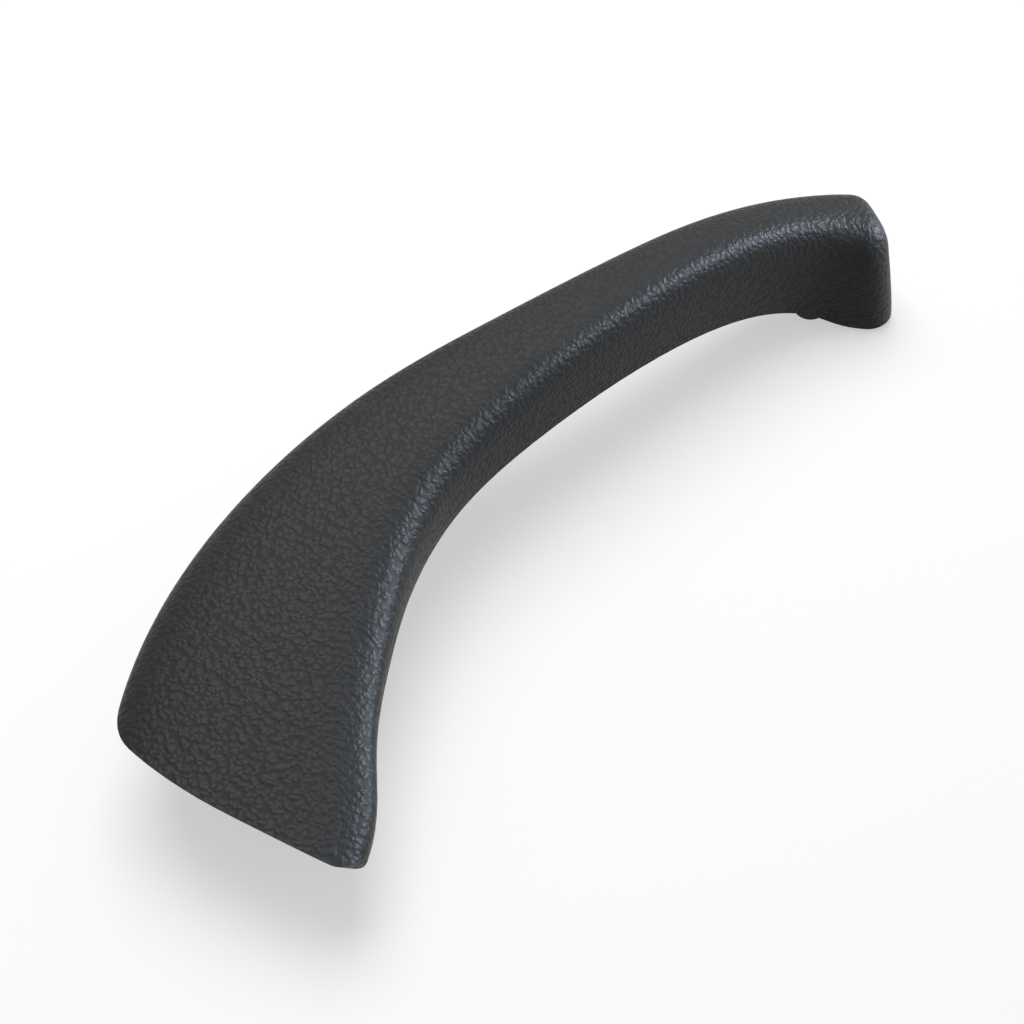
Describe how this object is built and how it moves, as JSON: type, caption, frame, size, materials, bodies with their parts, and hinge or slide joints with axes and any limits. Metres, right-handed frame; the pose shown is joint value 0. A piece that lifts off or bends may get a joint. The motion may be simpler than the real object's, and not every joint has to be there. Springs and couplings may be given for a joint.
{
  "type": "car door pull handle",
  "caption": "Curved pull handle for the inside of a car door: a grained grip bows from a broad flat tongue over a finger gap to a narrow leg and is screwed on from behind.",
  "frame": {"origin": "midway between the mounting screw at the pocketed foot's inner end and the screw under the narrow leg, on the face of the door panel", "axes": "+X from the broad tongue to the narrow leg, +Y to the outer side of the bow, +Z out of the door panel into the car"},
  "size_m": [0.3377, 0.1081, 0.06],
  "materials": {
    "grained_cover": "moulded leather grain, satin",
    "carrier_plastic": "fine spark-eroded texture",
    "insert_brass": "turned",
    "screw_steel": "zinc plated"
  },
  "bodies": {
    "root": {"grip_cover": "grained_cover", "handle_carrier": "carrier_plastic", "thread_inserts": "insert_brass", "cover_screws": "screw_steel"}
  },
  "joints": []
}
